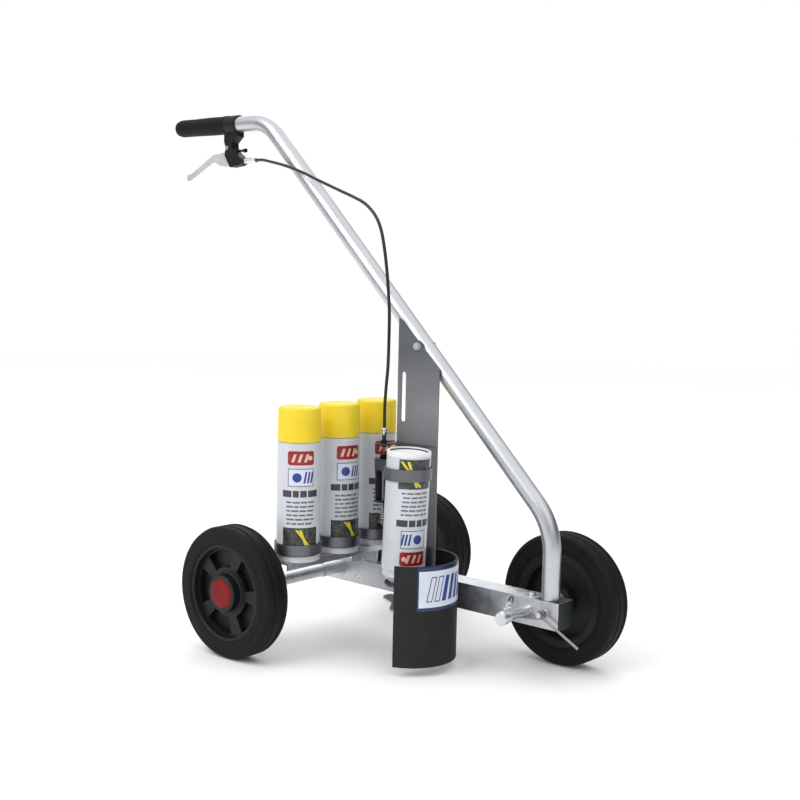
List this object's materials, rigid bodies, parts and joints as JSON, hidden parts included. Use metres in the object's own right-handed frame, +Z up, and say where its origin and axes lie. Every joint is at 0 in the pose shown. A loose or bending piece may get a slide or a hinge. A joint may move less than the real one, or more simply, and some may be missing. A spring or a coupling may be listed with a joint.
{
  "type": "line striping machine",
  "caption": "Push-along line marker on wheels with a bent tube handle, brake-style trigger, inverted spray can carrier, curved rubber guard and a rack for spare cans.",
  "frame": {"origin": "on the ground under the centre of the bounding box", "axes": "+X forward towards the front wheel, +Y to the left, +Z up"},
  "size_m": [0.905, 0.494, 0.8459],
  "materials": {
    "tyre_rubber": "matt moulded rubber",
    "rim_plastic": "black moulded plastic",
    "bush_nylon": "natural nylon",
    "cap_red": "dark red moulded plastic",
    "galvanised": "galvanised sheet and bar with a faint spangle",
    "tube_zinc": "bright galvanised tube",
    "plated_steel": "zinc-plated fasteners",
    "grip_rubber": "black moulded grip",
    "grey_steel": "grey painted steel strip",
    "can_tin": "white lacquered tinplate",
    "button_plastic": "white moulded plastic",
    "cap_yellow": "yellow moulded plastic",
    "dark_metal": "blackened steel",
    "cable_sheath": "black extruded sheath",
    "lever_black": "black coated casting",
    "lever_alloy": "satin alloy",
    "guard_rubber": "matt black rubber sheet"
  },
  "bodies": {
    "frame": {"beam": "galvanised", "handle_tube": "tube_zinc", "handle_grip": "grip_rubber", "mast": "galvanised", "mast_bolt_set": "plated_steel", "mast_base_bolts": "plated_steel", "tube_bolt": "plated_steel", "web_screw": "plated_steel", "rear_axle": "galvanised", "axle_sleeves": "galvanised", "axle_collars": "plated_steel", "front_axle": "plated_steel", "front_spacer": "plated_steel", "shelf": "galvanised", "shelf_bracket": "galvanised", "can_ring_1": "grey_steel", "can_ring_2": "grey_steel", "can_ring_3": "grey_steel", "lever_bracket": "lever_black", "lever_screws": "plated_steel", "stop_screw": "lever_black", "barrel_adjuster": "lever_alloy", "cable": "cable_sheath", "tether_chain": "plated_steel", "spray_guard": "guard_rubber", "guard_fixings": "plated_steel"},
    "wheel_right": {"wheel_right_tyre": "tyre_rubber", "wheel_right_rim": "rim_plastic", "wheel_right_bush": "bush_nylon", "wheel_right_cap": "cap_red"},
    "wheel_left": {"wheel_left_tyre": "tyre_rubber", "wheel_left_rim": "rim_plastic", "wheel_left_bush": "bush_nylon", "wheel_left_cap": "cap_red"},
    "wheel_front": {"wheel_front_tyre": "tyre_rubber", "wheel_front_rim": "rim_plastic", "wheel_front_bush": "bush_nylon", "wheel_front_cap": "cap_red"},
    "trigger": {"brake_blade": "lever_alloy"},
    "can_carrier": {"carrier": "grey_steel", "carrier_bolts": "plated_steel", "can_clip": "grey_steel", "can_seat": "grey_steel", "cable_adjuster": "dark_metal"},
    "pull": {"pull_clevis": "dark_metal", "pull_rod": "plated_steel", "return_spring": "plated_steel"},
    "lever": {"nozzle_lever": "grey_steel"},
    "can_in_use": {"use_can": "can_tin"},
    "spray_button": {"use_button": "button_plastic"},
    "sight": {"pointer": "plated_steel"},
    "can_1": {"spare_can_1": "can_tin", "spare_button_1": "button_plastic"},
    "can_2": {"spare_can_2": "can_tin", "spare_button_2": "button_plastic"},
    "can_3": {"spare_can_3": "can_tin", "spare_button_3": "button_plastic"},
    "cap_1": {"spare_cap_1": "cap_yellow"},
    "cap_2": {"spare_cap_2": "cap_yellow"},
    "cap_3": {"spare_cap_3": "cap_yellow"}
  },
  "joints": [
    {"name": "wheel_right_spin", "type": "hinge", "parent": "frame", "child": "wheel_right", "pos_m": [-0.0245, -0.22, 0.1], "axis": [0, 1, 0], "continuous": true},
    {"name": "wheel_left_spin", "type": "hinge", "parent": "frame", "child": "wheel_left", "pos_m": [-0.0245, 0.22, 0.1], "axis": [0, 1, 0], "continuous": true},
    {"name": "wheel_front_spin", "type": "hinge", "parent": "frame", "child": "wheel_front", "pos_m": [0.3535, 0.107, 0.1], "axis": [0, 1, 0], "continuous": true},
    {"name": "trigger_squeeze", "type": "hinge", "parent": "frame", "child": "trigger", "pos_m": [-0.3155, 0.027, 0.79], "axis": [0, 1, 0], "range_deg": [0, 20], "stiffness_Nm_per_rad": 1.5, "springref_deg": -14.32},
    {"name": "carrier_height", "type": "slide", "parent": "frame", "child": "can_carrier", "axis": [0, 0, 1], "range_m": [-0.02, 0.03], "deforming": ["cable"]},
    {"name": "rod_pull", "type": "slide", "parent": "can_carrier", "child": "pull", "axis": [0, 0, 1], "range_m": [0, 0.0063], "stiffness_N_per_m": 300, "springref_m": -0.005, "deforming": ["return_spring"]},
    {"name": "lever_tilt", "type": "hinge", "parent": "can_carrier", "child": "lever", "pos_m": [0.2195, -0.06, 0.0795], "axis": [0, 1, 0], "range_deg": [0, 4]},
    {"name": "use_can_lift", "type": "slide", "parent": "can_carrier", "child": "can_in_use", "axis": [0.0393, 0, 0.9992], "range_m": [0, 0.1]},
    {"name": "button_press", "type": "slide", "parent": "can_in_use", "child": "spray_button", "axis": [0.0393, 0, 0.9992], "range_m": [0, 0.0031], "stiffness_N_per_m": 150, "springref_m": -0.004},
    {"name": "pointer_fold", "type": "hinge", "parent": "frame", "child": "sight", "pos_m": [0.3815, 0.0024, 0.1], "axis": [0, 1, 0], "range_deg": [-60, 0]},
    {"name": "can_1_lift", "type": "slide", "parent": "frame", "child": "can_1", "axis": [0, 0, 1], "range_m": [0, 0.08]},
    {"name": "can_2_lift", "type": "slide", "parent": "frame", "child": "can_2", "axis": [0, 0, 1], "range_m": [0, 0.08]},
    {"name": "can_3_lift", "type": "slide", "parent": "frame", "child": "can_3", "axis": [0, 0, 1], "range_m": [0, 0.08]},
    {"name": "cap_1_pull", "type": "slide", "parent": "can_1", "child": "cap_1", "axis": [0, 0, 1], "range_m": [0, 0.045]},
    {"name": "cap_2_pull", "type": "slide", "parent": "can_2", "child": "cap_2", "axis": [0, 0, 1], "range_m": [0, 0.045]},
    {"name": "cap_3_pull", "type": "slide", "parent": "can_3", "child": "cap_3", "axis": [0, 0, 1], "range_m": [0, 0.045]}
  ],
  "couplings": [
    {"joint": "rod_pull", "follows": "trigger_squeeze", "m_per_rad": 0.018},
    {"joint": "lever_tilt", "follows": "trigger_squeeze", "ratio": 0.19835},
    {"joint": "button_press", "follows": "trigger_squeeze", "m_per_rad": 0.0087}
  ]
}
